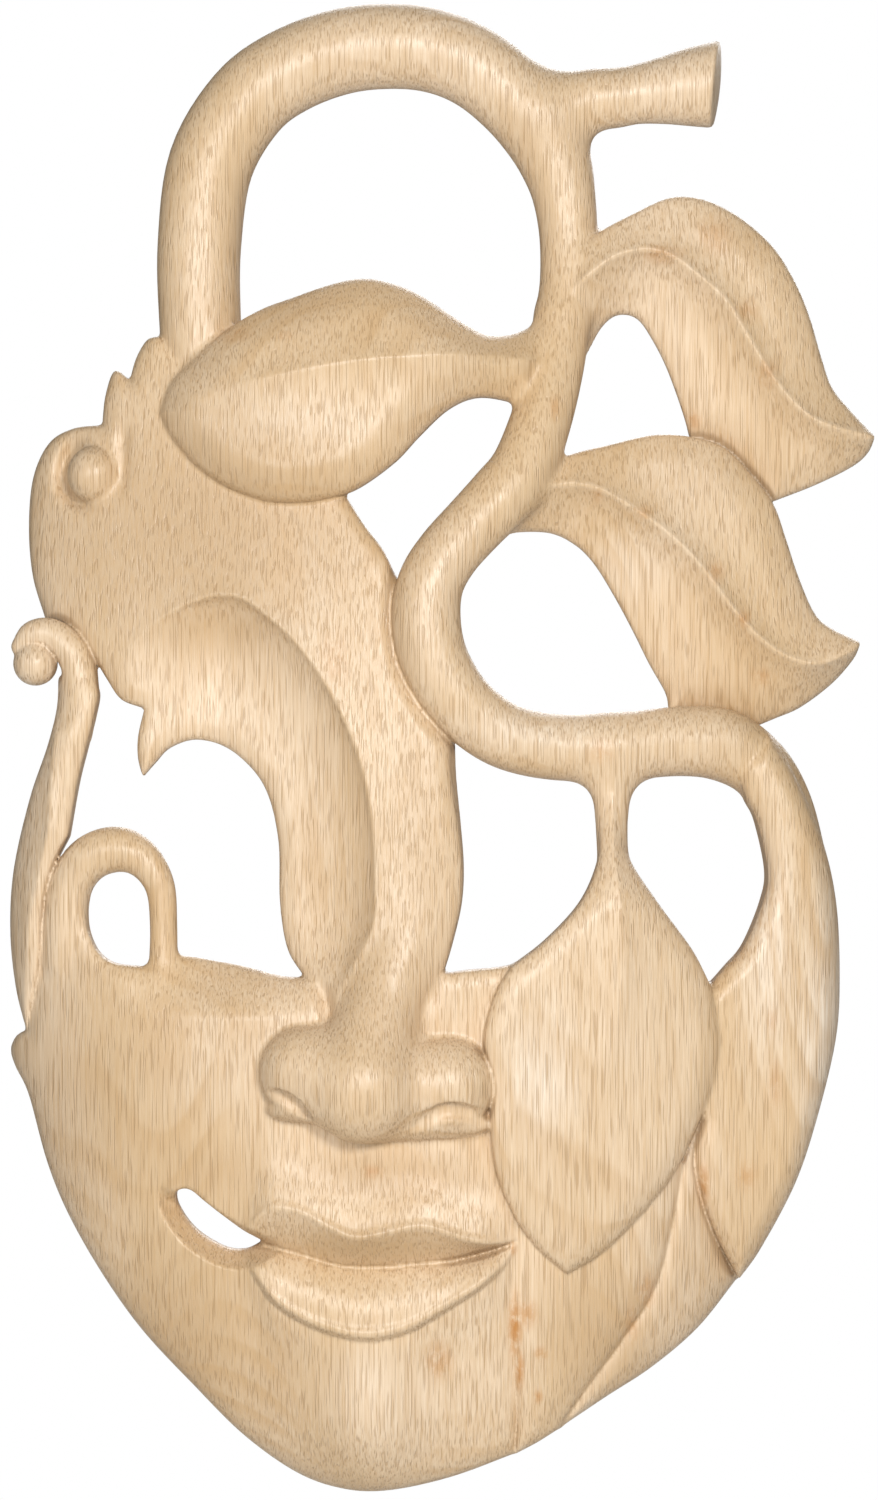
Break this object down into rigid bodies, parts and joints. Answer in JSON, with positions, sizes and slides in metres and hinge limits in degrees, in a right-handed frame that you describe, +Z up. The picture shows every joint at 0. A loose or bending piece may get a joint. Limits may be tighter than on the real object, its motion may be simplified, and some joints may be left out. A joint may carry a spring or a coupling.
{
  "type": "carved wooden wall mask",
  "caption": "Pale carved wooden wall mask of a face made of leaves and looping vines, hung by a small D-ring on its back.",
  "frame": {"origin": "on the wall plane, behind the point where the nail bears on the hanger's ring", "axes": "+Z up, +Y into the wall, so the mask looks along -Y; +X is to the viewer's right"},
  "size_m": [0.28, 0.0814, 0.4802],
  "materials": {
    "wood": "satin",
    "hanger_steel": "satin",
    "screw_steel": "satin"
  },
  "bodies": {
    "mask": {"lower_face": "wood", "forehead_and_nose": "wood", "cheek_leaf": "wood", "right_vine_leaf": "wood", "inner_jaw_leaf": "wood", "outer_jaw_leaf": "wood", "side_vine": "wood", "eye_loop": "wood", "s_vine": "wood", "stem": "wood", "crown_vine": "wood", "cut_branch": "wood", "upper_left_leaf": "wood", "upper_right_leaf": "wood", "middle_right_leaf": "wood", "hanger_strap": "hanger_steel", "hanger_screw": "screw_steel"},
    "ring": {"hanger_ring": "hanger_steel"}
  },
  "joints": [
    {"name": "ring_hinge", "type": "hinge", "parent": "mask", "child": "ring", "pos_m": [0, -0.01165, -0.011], "axis": [-1, 0, 0], "range_deg": [0, 170]}
  ]
}
